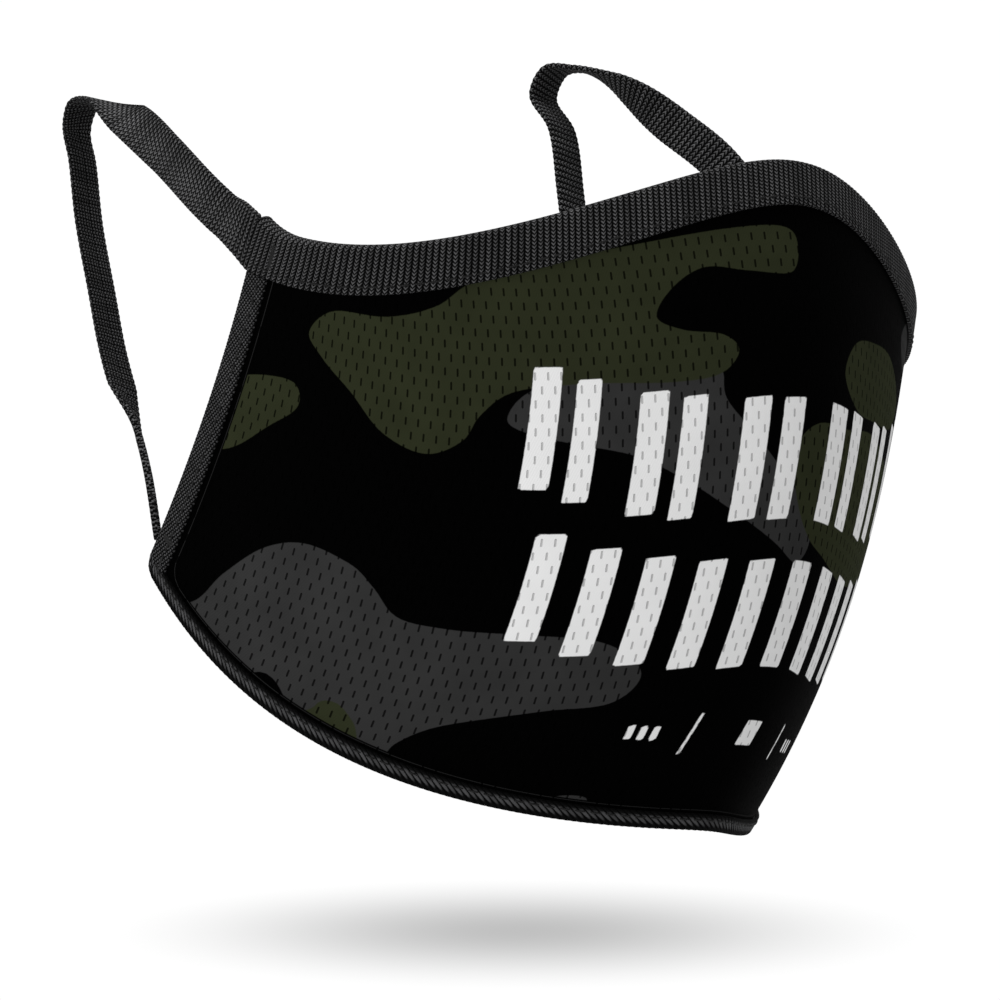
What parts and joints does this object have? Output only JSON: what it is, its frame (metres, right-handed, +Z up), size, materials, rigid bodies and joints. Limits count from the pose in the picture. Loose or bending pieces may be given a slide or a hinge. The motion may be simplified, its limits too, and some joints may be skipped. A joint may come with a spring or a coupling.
{
  "type": "face mask",
  "caption": "Shaped fabric face mask with a black, grey and olive camouflage mesh cup, bound in ribbed black elastic tape that runs on into a loop for each ear",
  "frame": {"origin": "midway between the two ear edges, in the face opening, where the wearer's face sits", "axes": "+Z up, front faces -Y, +X is the wearer's left"},
  "size_m": [0.1586, 0.1335, 0.1621],
  "materials": {
    "camo_mesh": "matte",
    "black_interlining": "matte",
    "black_lining": "matte",
    "ribbed_tape": "ribbed",
    "black_thread": "matte",
    "aluminium_wire": "plain"
  },
  "bodies": {
    "right_half": {"outer_panel_right": "camo_mesh", "interlining_right": "black_interlining", "inner_lining_right": "black_lining", "top_binding_right": "ribbed_tape", "lower_binding_right": "ribbed_tape", "top_stitching_right": "black_thread", "lower_stitching_right": "black_thread", "top_bartack_right": "black_thread", "bottom_bartack_right": "black_thread", "nose_wire_right": "aluminium_wire", "nose_wire_sleeve_right": "black_lining"},
    "left_half": {"outer_panel_left": "camo_mesh", "interlining_left": "black_interlining", "inner_lining_left": "black_lining", "top_binding_left": "ribbed_tape", "lower_binding_left": "ribbed_tape", "top_stitching_left": "black_thread", "lower_stitching_left": "black_thread", "top_bartack_left": "black_thread", "bottom_bartack_left": "black_thread", "nose_wire_left": "aluminium_wire", "nose_wire_sleeve_left": "black_lining"},
    "right_loop": {"ear_loop_right": "ribbed_tape"},
    "left_loop": {"ear_loop_left": "ribbed_tape"}
  },
  "joints": [
    {"name": "centre_fold", "type": "hinge", "parent": "right_half", "child": "left_half", "pos_m": [0, -0.0541, -0.063], "axis": [0, -0.1945, 0.9809], "range_deg": [0, 45]},
    {"name": "right_loop_swing", "type": "hinge", "parent": "right_half", "child": "right_loop", "pos_m": [-0.07612, -0.01726, 0.03837], "axis": [-0.197, -0.5988, 0.7763], "range_deg": [-5, 80], "stiffness_Nm_per_rad": 0.003},
    {"name": "left_loop_swing", "type": "hinge", "parent": "left_half", "child": "left_loop", "pos_m": [0.07612, -0.01726, 0.03837], "axis": [-0.197, 0.5988, -0.7763], "range_deg": [-5, 80], "stiffness_Nm_per_rad": 0.003}
  ]
}
